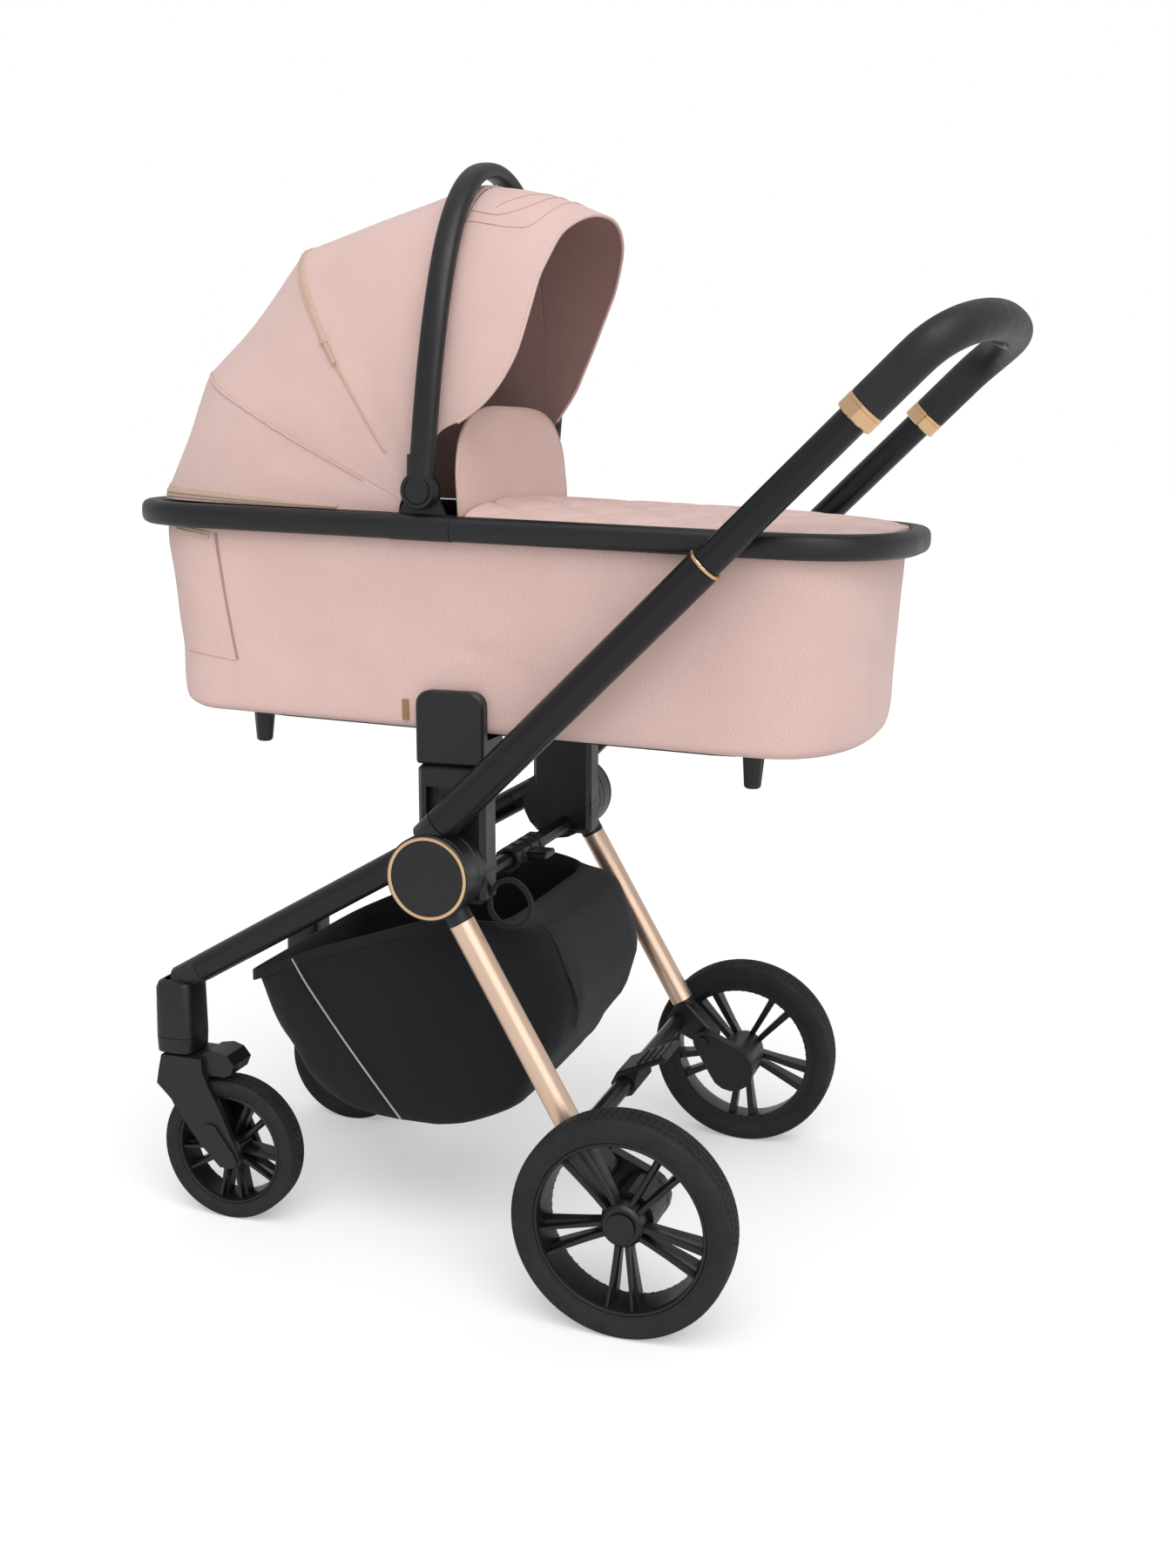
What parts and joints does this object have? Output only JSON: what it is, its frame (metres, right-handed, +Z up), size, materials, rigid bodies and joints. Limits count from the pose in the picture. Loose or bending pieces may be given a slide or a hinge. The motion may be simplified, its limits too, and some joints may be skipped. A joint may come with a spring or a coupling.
{
  "type": "travel system",
  "caption": "Pram with a fabric carrycot, hood and quilted apron on a folding chassis with a height-adjustable handle, sprung rear wheels and swivelling front wheels.",
  "frame": {"origin": "on the floor, under the middle of the object's box", "axes": "+Z up, -X towards the head end and the front wheels, +X towards the handle, -Y the pram's left side"},
  "size_m": [1.0323, 0.5804, 1.2556],
  "materials": {
    "black_plastic": "moulded, satin black",
    "black_tube": "anodised satin black",
    "tyre_rubber": "black, zigzag tread",
    "rose_gold_tube": "anodised rose gold, satin",
    "rose_gold_trim": "polished rose gold",
    "black_grip": "black synthetic leather, sewn",
    "grey_button": "moulded, grey",
    "pink_fabric": "woven, pink marl",
    "grey_liner": "woven, grey beige",
    "black_fabric": "woven, black",
    "black_webbing": "woven webbing"
  },
  "bodies": {
    "chassis": {"hub_frame_left": "black_plastic", "hub_frame_right": "black_plastic", "hinge_bolt_left": "black_plastic", "hinge_bolt_right": "black_plastic", "hub_ring_left": "rose_gold_trim", "hub_ring_right": "rose_gold_trim", "front_leg_left": "black_tube", "front_leg_right": "black_tube", "caster_housing_left": "black_plastic", "caster_housing_right": "black_plastic", "cross_tube": "black_tube", "basket": "black_fabric", "pull_loop": "black_webbing"},
    "fold_lever": {"fold_lever": "black_plastic"},
    "handle": {"handle_knuckle_left": "black_plastic", "handle_knuckle_right": "black_plastic", "handle_tube_left": "black_tube", "handle_tube_right": "black_tube", "telescope_collar_left": "rose_gold_trim", "telescope_collar_right": "rose_gold_trim"},
    "handle_upper": {"handle_bow": "black_tube", "handle_grip": "black_grip", "grip_ring_left": "rose_gold_trim", "grip_ring_right": "rose_gold_trim"},
    "height_button": {"height_button": "grey_button"},
    "rear_frame": {"rear_knuckle_left": "black_plastic", "rear_knuckle_right": "black_plastic", "rear_leg_left": "rose_gold_tube", "rear_leg_right": "rose_gold_tube", "rear_bracket_left": "black_plastic", "rear_bracket_right": "black_plastic", "cross_axle": "black_tube"},
    "brake_pedal": {"brake_pedal": "black_plastic"},
    "carrycot": {"carrycot_rim": "black_plastic", "carrycot_tub": "pink_fabric", "carrycot_board": "black_plastic", "mattress": "grey_liner", "apron": "pink_fabric", "wind_flap": "pink_fabric", "carrycot_adapter_left": "black_plastic", "carrycot_adapter_right": "black_plastic", "hood_canopy": "pink_fabric"},
    "carry_handle": {"carry_handle": "black_plastic", "hood_visor": "pink_fabric"},
    "suspension_left": {"suspension_arm_left": "black_plastic"},
    "rear_wheel_left": {"rear_rim_left": "black_plastic", "rear_tyre_left": "tyre_rubber"},
    "caster_left": {"front_fork_left": "black_plastic"},
    "front_wheel_left": {"front_rim_left": "black_plastic", "front_tyre_left": "tyre_rubber"},
    "swivel_lock_left": {"swivel_lock_left": "black_plastic"},
    "pivot_button_left": {"pivot_button_left": "black_plastic"},
    "suspension_right": {"suspension_arm_right": "black_plastic"},
    "rear_wheel_right": {"rear_rim_right": "black_plastic", "rear_tyre_right": "tyre_rubber"},
    "caster_right": {"front_fork_right": "black_plastic"},
    "front_wheel_right": {"front_rim_right": "black_plastic", "front_tyre_right": "tyre_rubber"},
    "swivel_lock_right": {"swivel_lock_right": "black_plastic"},
    "pivot_button_right": {"pivot_button_right": "black_plastic"}
  },
  "joints": [
    {"name": "rear_fold", "type": "hinge", "parent": "chassis", "child": "rear_frame", "pos_m": [-0.0767, 0, 0.4718], "axis": [0, 1, 0], "range_deg": [0, 45.5], "deforming": ["basket"]},
    {"name": "handle_fold", "type": "hinge", "parent": "chassis", "child": "handle", "pos_m": [-0.0767, 0, 0.4718], "axis": [0, -1, 0], "range_deg": [0, 130]},
    {"name": "telescope", "type": "slide", "parent": "handle", "child": "handle_upper", "axis": [0.7108, 0, 0.7034], "range_m": [-0.17, 0.03]},
    {"name": "height_button_press", "type": "slide", "parent": "handle_upper", "child": "height_button", "axis": [0.7108, 0, 0.7034], "range_m": [0, 0.0015], "stiffness_N_per_m": 800, "springref_m": -0.002},
    {"name": "fold_lever_twist", "type": "hinge", "parent": "chassis", "child": "fold_lever", "pos_m": [-0.0645, 0, 0.445], "axis": [0, -1, 0], "range_deg": [0, 30], "stiffness_Nm_per_rad": 0.3, "springref_deg": -17.19},
    {"name": "brake_press", "type": "hinge", "parent": "rear_frame", "child": "brake_pedal", "pos_m": [0.0801, 0, 0.1757], "axis": [0, 1, 0], "range_deg": [0, 25]},
    {"name": "suspension_swing_left", "type": "hinge", "parent": "rear_frame", "child": "suspension_left", "pos_m": [0.1189, -0.2215, 0.156], "axis": [0, -1, 0], "range_deg": [-2, 10], "stiffness_Nm_per_rad": 60, "springref_deg": -2.58},
    {"name": "rear_wheel_spin_left", "type": "hinge", "parent": "suspension_left", "child": "rear_wheel_left", "pos_m": [0.157, -0.2683, 0.12223], "axis": [0, 1, 0], "continuous": true},
    {"name": "caster_swivel_left", "type": "hinge", "parent": "chassis", "child": "caster_left", "pos_m": [-0.447, -0.1586, 0.2035], "axis": [0, 0, 1], "continuous": true},
    {"name": "front_wheel_spin_left", "type": "hinge", "parent": "caster_left", "child": "front_wheel_left", "pos_m": [-0.38, -0.1586, 0.08754], "axis": [0, 1, 0], "continuous": true},
    {"name": "swivel_lock_slide_left", "type": "slide", "parent": "chassis", "child": "swivel_lock_left", "axis": [0, 0, 1], "range_m": [-0.006, 0]},
    {"name": "suspension_swing_right", "type": "hinge", "parent": "rear_frame", "child": "suspension_right", "pos_m": [0.1189, 0.2215, 0.156], "axis": [0, -1, 0], "range_deg": [-2, 10], "stiffness_Nm_per_rad": 60, "springref_deg": -2.58},
    {"name": "rear_wheel_spin_right", "type": "hinge", "parent": "suspension_right", "child": "rear_wheel_right", "pos_m": [0.157, 0.2683, 0.12223], "axis": [0, 1, 0], "continuous": true},
    {"name": "caster_swivel_right", "type": "hinge", "parent": "chassis", "child": "caster_right", "pos_m": [-0.447, 0.1586, 0.2035], "axis": [0, 0, 1], "continuous": true},
    {"name": "front_wheel_spin_right", "type": "hinge", "parent": "caster_right", "child": "front_wheel_right", "pos_m": [-0.38, 0.1586, 0.08754], "axis": [0, 1, 0], "continuous": true},
    {"name": "swivel_lock_slide_right", "type": "slide", "parent": "chassis", "child": "swivel_lock_right", "axis": [0, 0, 1], "range_m": [-0.006, 0]},
    {"name": "carrycot_lift", "type": "slide", "parent": "chassis", "child": "carrycot", "axis": [0, 0, 1], "range_m": [0, 0.12]},
    {"name": "carry_handle_swing", "type": "hinge", "parent": "carrycot", "child": "carry_handle", "pos_m": [-0.10242, 0, 0.88744], "axis": [0, 1, 0], "range_deg": [-70, 0], "deforming": ["hood_canopy"]},
    {"name": "pivot_button_press_left", "type": "slide", "parent": "carry_handle", "child": "pivot_button_left", "axis": [0, 1, 0], "range_m": [0, 0.002], "stiffness_N_per_m": 600, "springref_m": -0.002},
    {"name": "pivot_button_press_right", "type": "slide", "parent": "carry_handle", "child": "pivot_button_right", "axis": [0, -1, 0], "range_m": [0, 0.002], "stiffness_N_per_m": 600, "springref_m": -0.002}
  ],
  "couplings": [
    {"joint": "handle_fold", "follows": "rear_fold", "ratio": 2.857}
  ]
}
